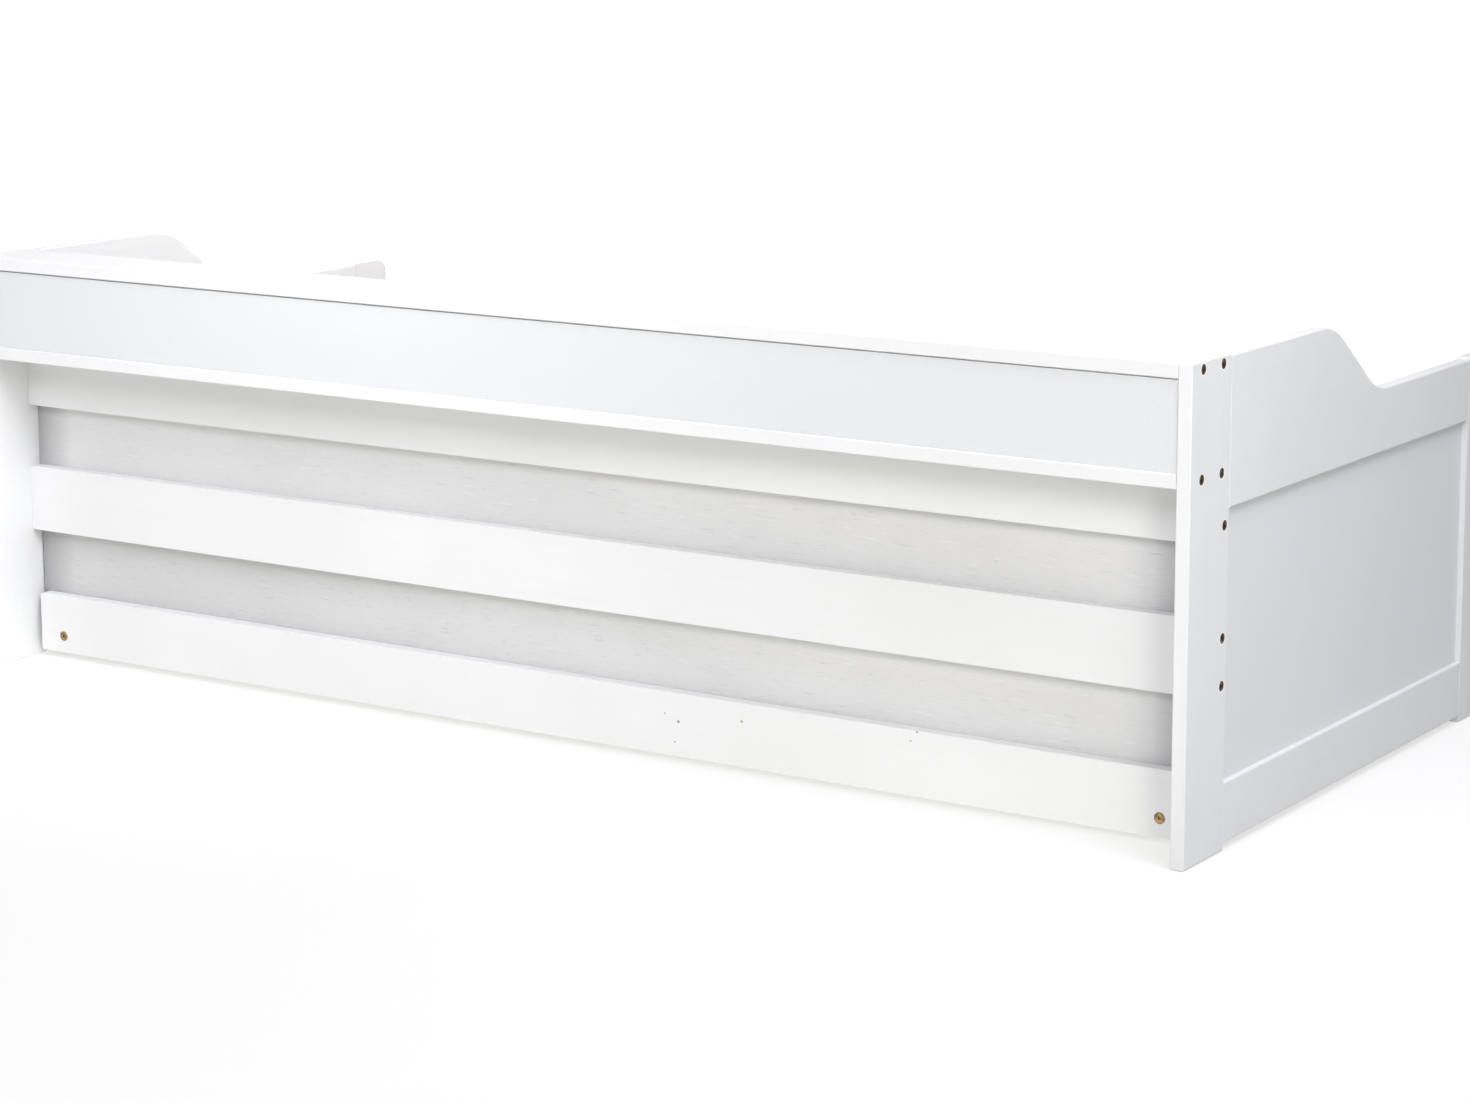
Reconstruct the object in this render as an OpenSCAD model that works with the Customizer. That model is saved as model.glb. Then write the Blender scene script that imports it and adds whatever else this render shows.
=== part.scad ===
// Children's daybed with a shelf box along its back and a full-length toy and bedding
// drawer on castors. The front is -Y, the shelf side is +Y and Z is up.
// The origin is the centre of the footprint, on the floor.

/* [Overall] */
// Length over both end panels
bed_length = 2080; // [1980:10:2180]
// Depth from the front stiles to the back of the shelf box
bed_depth = 984; // [940:4:1040]
// Height of the back stiles and of the shelf top
bed_height = 645; // [640:5:680]
// Thickness of the frame boards
board_t = 20; // [19:1:22]

/* [End panels] */
// Width of each back stile, which is also the depth of the shelf box
back_stile_w = 111; // [106:1:120]
// Width of each front stile
front_stile_w = 84; // [76:1:96]
// Height of each front stile
front_stile_h = 540; // [538:1:550]
// Radius of the front stile's rounded top corner
front_stile_r = 22; // [10:1:30]
// Height of the top rail's high end
top_rail_high = 644; // [636:1:645]
// Height of the top rail's low end
top_rail_low = 537; // [530:1:538]
// Height of the top rail's lower edge
top_rail_bottom = 448; // [440:1:456]
// Distance from the back at which the top rail starts to fall
curve_start = 384; // [340:2:420]
// Radius of the curve where the top rail starts to fall
curve_top_r = 123; // [90:1:130]
// Radius of the curve where the top rail levels out
curve_low_r = 107; // [90:1:130]
// Steepest slope of the top rail, in degrees
curve_slope = 36; // [30:1:40]
// Gap under the bottom rail
rail_gap = 10; // [6:1:20]
// Height of the bottom rail
bottom_rail_h = 80; // [70:1:90]
// Thickness of the infill panel
infill_t = 3; // [3:1:9]
// Depth of the grooves that hold the infill panel
groove_d = 8; // [6:1:10]

/* [Shelf box] */
// Thickness of the shelf boards
shelf_t = 19; // [17:1:20]
// Height of the shelf floor
shelf_floor = 506; // [500:1:512]
// Thickness of the shelf's back panel
shelf_panel_t = 4; // [3:1:6]
// Setback of the shelf's back panel from the back edge of the boards
shelf_panel_inset = 3; // [1:1:6]
// Shadow gap above the shelf's back panel
shadow_gap = 2; // [1:1:4]
// Distance of the two dividers from the middle
divider_x = 340; // [250:10:450]
// Thickness of the dividers
divider_t = 18; // [15:1:20]

/* [Rails and panels] */
// Distance from the back to the outer face of the back rails
rail_setback = 89; // [84:1:94]
// Height of the upper back rail's lower edge
upper_rail_z = 402; // [395:1:410]
// Height of the middle back rail's lower edge
middle_rail_z = 203; // [203:1:210]
// Width of the middle back rail
middle_rail_w = 102; // [90:1:110]
// Corner radius of the loose rails and slats
rail_r = 5; // [2:1:8]
// Thickness of the thin back panels
thin_t = 3; // [3:1:5]
// Height of the front rail's lower edge
front_rail_z = 208; // [206:1:214]
// Width of the front rail
front_rail_w = 100; // [90:1:110]
// Setback of the front rail from the front of the stiles
front_setback = 2; // [1:1:5]

/* [Slatted base] */
// Width of a slat
slat_w = 70; // [60:1:80]
// Thickness of a slat
slat_t = 18; // [15:1:20]
// Height of the slats' undersides, which is the top of the ledges
slat_z = 262; // [256:1:268]
// Height of the ledge battens
ledge_h = 30; // [25:1:34]
// Width of a webbing strap
strap_w = 20; // [15:1:30]
// Thickness of a webbing strap
strap_t = 1.5; // [1:0.5:2]

/* [Drawer] */
// Gap between each end of the drawer's back rail and the end panel
drawer_end_gap = 12; // [8:1:20]
// Gap between each end of the drawer front and the end panel
front_end_gap = 6; // [4:1:12]
// Height of the drawer's lower edges
drawer_z = 10; // [8:1:14]
// Height of the drawer front's top edge
drawer_front_top = 202; // [190:1:203]
// Width of the drawer's back rail
drawer_rail_w = 92; // [85:1:100]
// Distance of the drawer's bolts from the ends of its back rail
drawer_bolt_in = 47; // [40:1:60]
// Height of the drawer's bolts
drawer_bolt_z = 37; // [34:1:40]
// Height of the drawer's side boards
drawer_side_top = 190; // [170:1:195]
// Height of the drawer floor's underside
drawer_floor_z = 60; // [58:1:66]
// Thickness of the drawer floor
drawer_floor_t = 6; // [4:1:8]
// Length of a hand grip
grip_l = 130; // [100:5:160]
// Height of a hand grip
grip_h = 32; // [28:1:40]

/* [Castors] */
// Radius of a castor wheel
wheel_r = 20; // [18:1:20]
// Width of a castor wheel
wheel_w = 18; // [14:1:20]
// Diameter of a castor's axle
axle_d = 8; // [6:1:8]

/* [Hidden] */
$fn = 48;

eps = 0.01;
paint = "white";
end_paint = "whitesmoke";
panel_paint = "gainsboro";
pine = "burlywood";
bronze = "darkgoldenrod";

// Main planes
half_l = bed_length / 2;
in_x = half_l - board_t;
back_y = bed_depth / 2;
front_y = -bed_depth / 2;
stile_back_y = back_y - back_stile_w;
stile_front_y = front_y + front_stile_w;
rail_out_y = back_y - rail_setback;
rail_in_y = rail_out_y - board_t;
thin_y = rail_in_y - thin_t;
front_out_y = front_y + front_setback;
front_in_y = front_out_y + board_t;
shelf_under = shelf_floor - shelf_t;
shelf_ceiling = bed_height - shelf_t;
shelf_panel_y = back_y - shelf_panel_inset - shelf_panel_t;

// Connector bolts: a low round head with a hex socket, and a cross nut in the board
head_d = 15;
head_h = 3;
head_recess = 0.4;
counterbore_d = 16;
bolt_d = 6;
bolt_l = 55;
bolt_hole_d = 7;
bolt_hole_l = 44;
socket_af = 5;
socket_d = 2.4;
nut_in = 30;
nut_d = 10;
nut_l = 13;
nut_hole_d = 10.2;
shelf_bolt_y = [back_y - 31, back_y - 88];
rail_bolt_y = (rail_out_y + rail_in_y) / 2;
front_bolt_y = (front_out_y + front_in_y) / 2;
upper_bolt_z = upper_rail_z + 26;
middle_bolt_z = [middle_rail_z + 17, middle_rail_z + 79];
front_bolt_z = [front_rail_z + 19, front_rail_z + 81];
top_bolt_z = bed_height - shelf_t / 2;
low_bolt_z = shelf_floor - shelf_t / 2;
// Each bolt as [y, z] on the end panels
back_bolts = [
    for (y = shelf_bolt_y, z = [top_bolt_z, low_bolt_z]) [y, z],
    [rail_bolt_y, upper_bolt_z],
    for (z = middle_bolt_z) [rail_bolt_y, z]
];
front_bolts = [for (z = front_bolt_z) [front_bolt_y, z]];

// Dowels
dowel_d = 8;
dowel_hole_d = 8.1;
dowel_l = 40;
dowel_in_face = 12;
top_dowels_back = [490, 610];
top_dowels_front = [468, 514];
low_dowels = [30, 70];
// Dowels between the long boards and the end panels, as [y, z]
board_dowels = [
    [back_y - 59.5, top_bolt_z], [back_y - 59.5, low_bolt_z], [rail_bolt_y, upper_rail_z + 62],
    [rail_bolt_y, middle_rail_z + 48], [front_bolt_y, front_rail_z + 50]
];

// Pins and screws
pin_head_d = 3;
pin_head_h = 0.8;
pin_d = 1.4;
pin_l = 14;
pin_pair_z = [shelf_floor + 65, shelf_floor + 81];
cleat_w = 45;
cleat_t = 18;
top_cleat_h = 14;
top_cleat_t = 12;
pin_cleat_x = in_x - 36;
panel_pin_count = 8;
panel_pin_z = [middle_rail_z + 72, upper_rail_z + 40];
screw_d = 4;
screw_head_d = 8;
screw_head_h = 3;
screw_l = 34;
ledge_screw_count = 6;

// Slatted base
ledge_t = board_t;
ledge_z = slat_z - ledge_h;
slat_count = 12;
slat_end_gap = 2;
slat_first_x = -(in_x - 60);
slat_pitch = 2 * (in_x - 60) / (slat_count - 1);
strap_y = [-260, 190];

// Drawer
drawer_x = in_x - drawer_end_gap;
side_x = drawer_x - drawer_bolt_in;
// The drawer's back panel reaches further, to just short of the end panels
drawer_panel_x = in_x - 2;
side_z = drawer_z + 4;
drawer_groove = 6;
groove_play = 0.2;
thin_top = middle_rail_z - 1;
thin_z = drawer_z + 4;
upper_thin_z = front_rail_z;
grip_x = 500;
grip_z = drawer_front_top - 46;
// Dowels along Y in the drawer's front and back, as [x, z]
drawer_front_dowels = [for (x = [-side_x, 0, side_x], z = [90, 150]) [x, z]];
drawer_back_dowels = [for (x = [-side_x, 0, side_x]) [x, 78]];
drawer_bolt_points = [for (s = [-1, 1]) [s * side_x, drawer_bolt_z]];

// Castors: each hangs on a board face at x, reaching out in direction dir
castor_y = [front_in_y + 70, thin_y - 70];
castor_spots = [[-side_x + board_t / 2, 1], [board_t / 2, 1], [side_x - board_t / 2, -1]];
plate_t = 2.5;
side_play = 1;
wheel_mid = plate_t + side_play + wheel_w / 2;
ear_x = plate_t + 2 * side_play + wheel_w;
ear_r = 12;
bridge_z = 43;
plate_half = 30;
plate_low = 34;
plate_top = 56;
axle_head_d = 12;
axle_head_h = 2;
axle_hole_d = axle_d + 0.04;
castor_screw_y = plate_half - 8;
castor_screw_z = plate_top - 11 - wheel_r;
castor_screw_l = 12;
castor_screw_head_h = 2.2;
wheel_bore_d = axle_d + 0.1;

// ---------- helpers ----------

// Points of an arc about c
function arc(c, r, a0, a1, steps) =
    [for (i = [0:steps]) let (a = a0 + (a1 - a0) * i / steps) c + r * [cos(a), sin(a)]];

// Outline of a rectangle from lo to hi with rounded corners
function rounded(lo, hi, r) = let (n = 6) concat(
    arc([hi.x - r, hi.y - r], r, 0, 90, n), arc([lo.x + r, hi.y - r], r, 90, 180, n),
    arc([lo.x + r, lo.y + r], r, 180, 270, n), arc([hi.x - r, lo.y + r], r, 270, 360, n));

// Box between two corners
module block(lo, hi) {
    translate(lo) cube(hi - lo);
}

// Extrudes a YZ outline along X, from x0 to x1
module along_x(x0, x1) {
    translate([x0, 0, 0]) rotate([90, 0, 90]) linear_extrude(x1 - x0) children();
}

// Extrudes an XZ outline along Y, from y0 to y1
module along_y(y0, y1) {
    translate([0, y1, 0]) rotate([90, 0, 0]) linear_extrude(y1 - y0) children();
}

// Rod along X, Y or Z that starts at p
module rod_x(p, d, l) {
    translate(p) rotate([0, 90, 0]) cylinder(d = d, h = l);
}

module rod_y(p, d, l) {
    translate(p) rotate([-90, 0, 0]) cylinder(d = d, h = l);
}

module rod_z(p, d, l) {
    translate(p) cylinder(d = d, h = l);
}

// Draws the right-hand version, or its mirror image for the left
module on_side(side) {
    if (side > 0) children();
    else mirror([1, 0, 0]) children();
}

module both_ends() {
    for (side = [-1, 1]) on_side(side) children();
}

// ---------- end panels, drawn at the right-hand end ----------

// Stepped hole for a connector bolt through an end panel
module end_bolt_hole(p) {
    rod_x([in_x - 1, p.x, p.y], bolt_hole_d, board_t + 2);
    rod_x([half_l - head_h - head_recess, p.x, p.y], counterbore_d, head_h + head_recess + 1);
}

// Blind hole in an end panel's inner face
module end_dowel_hole(p) {
    rod_x([in_x - 1, p.x, p.y], dowel_hole_d, dowel_in_face + 1.2);
}

// Dowel along Y that bridges the seam at y, and the hole for it
module seam_dowel(y, z, d, extra) {
    rod_y([half_l - board_t / 2, y - dowel_l / 2 - extra, z], d, dowel_l + 2 * extra);
}

module seam_dowels(d = dowel_d, extra = 0) {
    for (z = top_dowels_back) seam_dowel(stile_back_y, z, d, extra);
    for (z = top_dowels_front) seam_dowel(stile_front_y, z, d, extra);
    for (z = low_dowels, y = [stile_back_y, stile_front_y]) seam_dowel(y, z, d, extra);
}

// Space of the infill panel, grown by play on each side
module infill_space(play) {
    mid = half_l - board_t / 2;
    reach = groove_d - 0.5 + play;
    block([mid - infill_t / 2 - play / 5, stile_front_y - reach, rail_gap + bottom_rail_h - reach],
          [mid + infill_t / 2 + play / 5, stile_back_y + reach, top_rail_bottom + reach]);
}

module back_stile(side) {
    color(end_paint) on_side(side) difference() {
        block([in_x, stile_back_y, 0], [half_l, back_y, bed_height]);
        infill_space(0.5);
        seam_dowels(dowel_hole_d, 0.5);
        for (p = back_bolts) end_bolt_hole(p);
        for (p = board_dowels) if (p.x > 0) end_dowel_hole(p);
    }
}

module front_stile(side) {
    r = front_stile_r;
    color(end_paint) on_side(side) difference() {
        along_x(in_x, half_l) polygon(concat(
            [[front_y, 0], [stile_front_y, 0], [stile_front_y, front_stile_h]],
            arc([front_y + r, front_stile_h - r], r, 90, 180, 10)));
        infill_space(0.5);
        seam_dowels(dowel_hole_d, 0.5);
        for (p = front_bolts) end_bolt_hole(p);
        for (p = board_dowels) if (p.x < 0) end_dowel_hole(p);
    }
}

// The top rail's outline: level, a convex arc, a straight slope, a concave arc, level
module top_rail_outline() {
    start_y = back_y - curve_start;
    top_c = [start_y, top_rail_high - curve_top_r];
    arc_drop = (curve_top_r + curve_low_r) * (1 - cos(curve_slope));
    slope_l = (top_rail_high - top_rail_low - arc_drop) / sin(curve_slope);
    run = (curve_top_r + curve_low_r) * sin(curve_slope) + slope_l * cos(curve_slope);
    low_c = [start_y - run, top_rail_low + curve_low_r];
    polygon(concat(
        [[stile_front_y, top_rail_bottom], [stile_back_y, top_rail_bottom], [stile_back_y, top_rail_high]],
        arc(top_c, curve_top_r, 90, 90 + curve_slope, 12),
        arc(low_c, curve_low_r, -90 + curve_slope, -90, 12),
        [[stile_front_y, top_rail_low]]));
}

module top_rail(side) {
    color(end_paint) on_side(side) difference() {
        along_x(in_x, half_l) top_rail_outline();
        infill_space(0.5);
        seam_dowels(dowel_hole_d, 0.5);
    }
}

module bottom_rail(side) {
    color(end_paint) on_side(side) difference() {
        block([in_x, stile_front_y, rail_gap], [half_l, stile_back_y, rail_gap + bottom_rail_h]);
        infill_space(0.5);
        seam_dowels(dowel_hole_d, 0.5);
    }
}

module infill_panel(side) {
    color(panel_paint) on_side(side) infill_space(0);
}

// ---------- fasteners between the end panels and the long boards ----------

// Connector bolt along +X, with the outer face of its head at the origin
module connector_bolt() {
    difference() {
        union() {
            rod_x([-head_h, 0, 0], head_d, head_h);
            rod_x([-head_h - bolt_l, 0, 0], bolt_d, bolt_l + eps);
        }
        rotate([0, -90, 0]) translate([0, 0, -1])
            cylinder(d = socket_af / cos(30), h = socket_d + 1, $fn = 6);
    }
}

module connector_bolts() {
    color(bronze) both_ends() for (p = concat(back_bolts, front_bolts))
        translate([half_l - head_recess, p.x, p.y]) connector_bolt();
}

// Cross nut: along Z in the shelf boards, along Y in the rails
module cross_nut(axis) {
    turn = axis == "z" ? [0, 0, 0] : [90, 0, 0];
    difference() {
        rotate(turn) cylinder(d = nut_d, h = nut_l, center = true);
        rotate([0, 90, 0]) cylinder(d = bolt_d + 0.1, h = nut_d + 2, center = true);
    }
}

module barrel_nuts() {
    color("silver") both_ends() {
        for (y = shelf_bolt_y, z = [top_bolt_z, low_bolt_z])
            translate([in_x - nut_in, y, z]) cross_nut("z");
        for (z = concat([upper_bolt_z], middle_bolt_z))
            translate([in_x - nut_in, rail_bolt_y, z]) cross_nut("y");
        for (p = front_bolts) translate([in_x - nut_in, p.x, p.y]) cross_nut("y");
    }
}

// All the frame's dowels: across the end panels' seams, and into the long boards
module frame_dowels() {
    color(pine) both_ends() {
        seam_dowels();
        for (p = board_dowels) rod_x([in_x + dowel_in_face - dowel_l, p.x, p.y], dowel_d, dowel_l);
    }
}

// Holes in the end of a long board: the bolt's, and a dowel's
module board_bolt_hole(y, z) {
    rod_x([in_x - bolt_hole_l, y, z], bolt_hole_d, bolt_hole_l + 1);
}

module board_dowel_hole(p) {
    rod_x([in_x + dowel_in_face - dowel_l - 0.5, p.x, p.y], dowel_hole_d, dowel_l);
}

// Blind hole for a cross nut, from a face at y or z through the bolt's axis
module nut_hole_y(face_y, y, z) {
    reach = abs(face_y - y) + nut_l / 2 + 1;
    low_y = face_y < y ? face_y - 1 : face_y - reach + 1;
    rod_y([in_x - nut_in, low_y, z], nut_hole_d, reach);
}

module nut_hole_z(face_z, y, z) {
    reach = abs(face_z - z) + nut_l / 2 + 1;
    low_z = face_z < z ? face_z - 1 : face_z - reach + 1;
    rod_z([in_x - nut_in, y, low_z], nut_hole_d, reach);
}

// ---------- shelf box ----------

module shelf_board(low_z, bolt_z, nut_face_z, dowel) {
    difference() {
        block([-in_x, stile_back_y, low_z], [in_x, back_y, low_z + shelf_t]);
        both_ends() {
            for (y = shelf_bolt_y) {
                board_bolt_hole(y, bolt_z);
                nut_hole_z(nut_face_z, y, bolt_z);
            }
            board_dowel_hole(dowel);
        }
    }
}

module shelf_top_board() {
    color(paint) shelf_board(shelf_ceiling, top_bolt_z, shelf_ceiling, board_dowels[0]);
}

module shelf_bottom_board() {
    color(paint) shelf_board(shelf_under, low_bolt_z, shelf_floor, board_dowels[1]);
}

module shelf_back_panel() {
    color("aliceblue") difference() {
        block([-in_x, shelf_panel_y, shelf_floor],
              [in_x, shelf_panel_y + shelf_panel_t, shelf_ceiling - shadow_gap]);
        shelf_pins(0.05);
    }
}

module shelf_divider(x) {
    color(paint) difference() {
        block([x - divider_t / 2, stile_back_y + 2, shelf_floor],
              [x + divider_t / 2, shelf_panel_y, shelf_ceiling]);
        shelf_pins(0.05);
    }
}

// Batten behind the upper edge of the shelf's back panel, which also closes the shadow gap
module top_cleat(x0, x1) {
    block([x0, shelf_panel_y - top_cleat_t, shelf_ceiling - top_cleat_h], [x1, shelf_panel_y, shelf_ceiling]);
}

module shelf_cleats() {
    color(paint) {
        both_ends() difference() {
            block([in_x - cleat_w, shelf_panel_y - cleat_t, shelf_floor], [in_x, shelf_panel_y, shelf_ceiling]);
            shelf_pins(0.05);
        }
        both_ends() top_cleat(divider_x + divider_t / 2, in_x - cleat_w - 1);
        top_cleat(-divider_x + divider_t / 2, divider_x - divider_t / 2);
    }
}

// Panel pin along Y: dir is the side its head is on
module panel_pin(p, dir, play) {
    head_y = dir > 0 ? p.y - pin_head_h : p.y - play;
    shank_y = dir > 0 ? p.y - pin_l : p.y;
    rod_y([p.x, head_y, p.z], pin_head_d + 2 * play, pin_head_h + play);
    rod_y([p.x, shank_y, p.z], pin_d + 2 * play, pin_l);
}

module shelf_pins(play) {
    for (x = [-pin_cleat_x, -divider_x, divider_x, pin_cleat_x], z = pin_pair_z)
        panel_pin([x, shelf_panel_y + shelf_panel_t, z], 1, play);
}

module back_panel_pins(play) {
    for (i = [0:panel_pin_count - 1], z = panel_pin_z)
        panel_pin([-in_x + (i + 0.5) * 2 * in_x / panel_pin_count, thin_y, z], -1, play);
}

module panel_pins() {
    color("silver") {
        shelf_pins(0);
        back_panel_pins(0);
    }
}

// ---------- back and front rails, thin back panel ----------

module back_rail(low_z, high_z, bolt_zs, dowel) {
    difference() {
        along_y(rail_in_y, rail_out_y) polygon(rounded([-in_x, low_z], [in_x, high_z], rail_r));
        both_ends() {
            for (z = bolt_zs) {
                board_bolt_hole(rail_bolt_y, z);
                nut_hole_y(rail_in_y, rail_bolt_y, z);
            }
            board_dowel_hole(dowel);
        }
        back_panel_pins(0.05);
        ledge_screw_row(1, 0.05);
    }
}

module upper_back_rail() {
    color(paint) back_rail(upper_rail_z, shelf_under, [upper_bolt_z], board_dowels[2]);
}

module middle_back_rail() {
    color(paint) back_rail(middle_rail_z, middle_rail_z + middle_rail_w, middle_bolt_z, board_dowels[3]);
}

module back_panel() {
    color(panel_paint) difference() {
        block([-in_x, thin_y, upper_thin_z], [in_x, rail_in_y, shelf_under]);
        back_panel_pins(0.05);
        ledge_screw_row(1, 0.05);
    }
}

module front_rail() {
    color(paint) difference() {
        along_y(front_out_y, front_in_y)
            polygon(rounded([-in_x, front_rail_z], [in_x, front_rail_z + front_rail_w], rail_r));
        both_ends() {
            for (z = front_bolt_z) {
                board_bolt_hole(front_bolt_y, z);
                nut_hole_y(front_in_y, front_bolt_y, z);
            }
            board_dowel_hole(board_dowels[4]);
        }
        ledge_screw_row(-1, 0.05);
    }
}

// ---------- slatted base ----------

module ledge(y0) {
    block([-in_x + 1, y0, ledge_z], [in_x - 1, y0 + ledge_t, slat_z]);
}

// Row of ledge screws: side 1 is the rear ledge, side -1 the front one
module ledge_screw_row(side, play) {
    face_y = side > 0 ? thin_y - ledge_t : front_in_y + ledge_t;
    for (i = [0:ledge_screw_count - 1]) {
        x = -in_x + (i + 0.5) * 2 * in_x / ledge_screw_count;
        translate([x, face_y, ledge_z + ledge_h / 2]) mirror([0, side < 0 ? 1 : 0, 0]) {
            rod_y([0, -play, 0], screw_head_d + 2 * play, screw_head_h + play);
            rod_y([0, 0, 0], screw_d + 2 * play, screw_l + play);
        }
    }
}

module front_ledge() {
    color(pine) difference() {
        ledge(front_in_y);
        ledge_screw_row(-1, 0.05);
    }
}

module rear_ledge() {
    color(pine) difference() {
        ledge(thin_y - ledge_t);
        ledge_screw_row(1, 0.05);
    }
}

module ledge_screws() {
    color("silver") {
        ledge_screw_row(1, 0);
        ledge_screw_row(-1, 0);
    }
}

module slat(number) {
    x = slat_first_x + (number - 1) * slat_pitch;
    color(pine) translate([0, 0, slat_z]) linear_extrude(slat_t) polygon(rounded(
        [x - slat_w / 2, front_in_y + slat_end_gap], [x + slat_w / 2, thin_y - slat_end_gap], rail_r));
}

module webbing_straps() {
    x = in_x - 60 + slat_w / 2 - 5;
    z = slat_z + slat_t;
    color("ivory") for (y = strap_y) block([-x, y - strap_w / 2, z], [x, y + strap_w / 2, z + strap_t]);
}

// ---------- drawer ----------

// Half of the drawer's floor, in its grooves; play widens it to the grooves' own size
module drawer_floor_half(play) {
    reach = drawer_groove - 0.5 + play;
    block([board_t / 2 - reach, front_in_y - reach, drawer_floor_z - play / 2],
          [side_x - board_t / 2 + reach, thin_y, drawer_floor_z + drawer_floor_t + play / 2]);
}

module drawer_floor_grooves() {
    both_ends() drawer_floor_half(groove_play);
}

module drawer_bolt_hole(p, out_y, dir) {
    head = head_h + head_recess;
    rod_y([p.x, dir > 0 ? out_y - board_t - 50 : out_y - 1, p.y], bolt_hole_d, board_t + 51);
    rod_y([p.x, dir > 0 ? out_y - head : out_y - 1, p.y], counterbore_d, head + 1);
}

module drawer_bolt_holes() {
    for (p = drawer_bolt_points) {
        drawer_bolt_hole(p, rail_out_y, 1);
        drawer_bolt_hole(p, front_out_y, -1);
    }
}

module drawer_dowel_rods(d, extra) {
    for (p = drawer_front_dowels)
        rod_y([p.x, front_in_y - dowel_in_face - extra, p.y], d, dowel_l + 2 * extra);
    for (p = drawer_back_dowels)
        rod_y([p.x, rail_in_y + dowel_in_face - dowel_l - extra, p.y], d, dowel_l + 2 * extra);
}

module drawer_joint_holes() {
    drawer_bolt_holes();
    drawer_dowel_rods(dowel_hole_d, 0.3);
}

module drawer_front() {
    x = in_x - front_end_gap;
    color(paint) difference() {
        along_y(front_out_y, front_in_y) difference() {
            polygon(rounded([-x, drawer_z], [x, drawer_front_top], rail_r));
            for (side = [-1, 1]) polygon(rounded(
                [side * grip_x - grip_l / 2, grip_z - grip_h / 2],
                [side * grip_x + grip_l / 2, grip_z + grip_h / 2], grip_h / 2 - eps));
        }
        drawer_floor_grooves();
        drawer_joint_holes();
    }
}

module drawer_back_rail() {
    color(paint) difference() {
        along_y(rail_in_y, rail_out_y)
            polygon(rounded([-drawer_x, drawer_z], [drawer_x, drawer_z + drawer_rail_w], rail_r));
        drawer_joint_holes();
    }
}

module drawer_back_panel() {
    color(panel_paint) difference() {
        block([-drawer_panel_x, thin_y, thin_z], [drawer_panel_x, rail_in_y, thin_top]);
        drawer_joint_holes();
    }
}

// Board that runs from the drawer's front to its back
module drawer_board(x) {
    difference() {
        block([x - board_t / 2, front_in_y, side_z], [x + board_t / 2, thin_y, drawer_side_top]);
        drawer_floor_grooves();
        drawer_joint_holes();
        castor_places() castor_screw_pair(0.05);
    }
}

// Blind cross-nut holes in a side board, from its inner face
module drawer_nut_holes(side) {
    reach = board_t / 2 + nut_l / 2;
    for (y = [thin_y - nut_in, front_in_y + nut_in]) on_side(side)
        rod_x([side_x - board_t / 2 - 1, y, drawer_bolt_z], nut_hole_d, reach + 1);
}

module drawer_side(side) {
    color(paint) difference() {
        drawer_board(side * side_x);
        drawer_nut_holes(side);
    }
}

module drawer_partition() {
    color(paint) drawer_board(0);
}

module drawer_floor(side) {
    color("ghostwhite") on_side(side) drawer_floor_half(0);
}

module drawer_bolts() {
    color("goldenrod") for (p = drawer_bolt_points) {
        translate([p.x, rail_out_y - head_recess, p.y]) rotate([0, 0, 90]) connector_bolt();
        translate([p.x, front_out_y + head_recess, p.y]) rotate([0, 0, -90]) connector_bolt();
    }
}

module drawer_barrel_nuts() {
    color("silver") for (s = [-1, 1], y = [thin_y - nut_in, front_in_y + nut_in])
        translate([s * side_x, y, drawer_bolt_z]) rotate([0, 90, 0]) difference() {
            cylinder(d = nut_d, h = nut_l, center = true);
            rotate([90, 0, 0]) cylinder(d = bolt_d + 0.1, h = nut_d + 2, center = true);
        }
}

module drawer_dowels() {
    color(pine) drawer_dowel_rods(dowel_d, 0);
}

// ---------- castors, drawn on a board face at x = 0 and reaching towards +X ----------

module castor_places(spots = castor_spots, ys = castor_y) {
    for (s = spots, y = ys) translate([s.x, y, wheel_r]) on_side(s.y) children();
}

// Rounded ear about the axle, from x0, plate_t thick
module ear(x0) {
    rod_x([x0, 0, 0], 2 * ear_r, plate_t);
    block([x0, -ear_r, 0], [x0 + plate_t, ear_r, bridge_z + plate_t - wheel_r]);
}

module castor_bracket() {
    difference() {
        union() {
            ear(0);
            ear(ear_x);
            block([0, -plate_half, plate_low - wheel_r], [plate_t, plate_half, plate_top - wheel_r]);
            block([0, -ear_r, bridge_z - wheel_r], [ear_x + plate_t, ear_r, bridge_z + plate_t - wheel_r]);
        }
        rod_x([-1, 0, 0], axle_hole_d, ear_x + plate_t + 2);
        castor_screw_pair(0.05);
    }
}

// A bracket's two screws, from the plate's face into the board
module castor_screw_pair(play) {
    reach = castor_screw_l + play;
    for (y = [-castor_screw_y, castor_screw_y]) {
        rod_x([-reach, y, castor_screw_z], screw_d + 2 * play, reach + plate_t + eps);
        rod_x([plate_t, y, castor_screw_z], screw_head_d, castor_screw_head_h);
    }
}

module castor_axle() {
    rod_x([0, 0, 0], axle_d, ear_x + plate_t + eps);
    rod_x([ear_x + plate_t, 0, 0], axle_head_d, axle_head_h);
}

// Wheel about its axle: crowned corners and a recessed web on each side
module castor_wheel() {
    w = wheel_w / 2;
    bore_r = wheel_bore_d / 2;
    hub_r = bore_r + 3.5;
    web_r = wheel_r - 5;
    half = [[bore_r, w], [hub_r, w], [hub_r + 0.5, w - 3], [web_r - 0.5, w - 3], [web_r, w - 0.5],
            [wheel_r - 2.5, w - 0.5], [wheel_r - 0.8, w - 1.4], [wheel_r, w - 3.5]];
    count = len(half) - 1;
    lower = [for (i = [count:-1:0]) [half[i].x, -half[i].y]];
    translate([wheel_mid, 0, 0]) rotate([0, 90, 0]) rotate_extrude($fn = 72) polygon(concat(half, lower));
}

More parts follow.
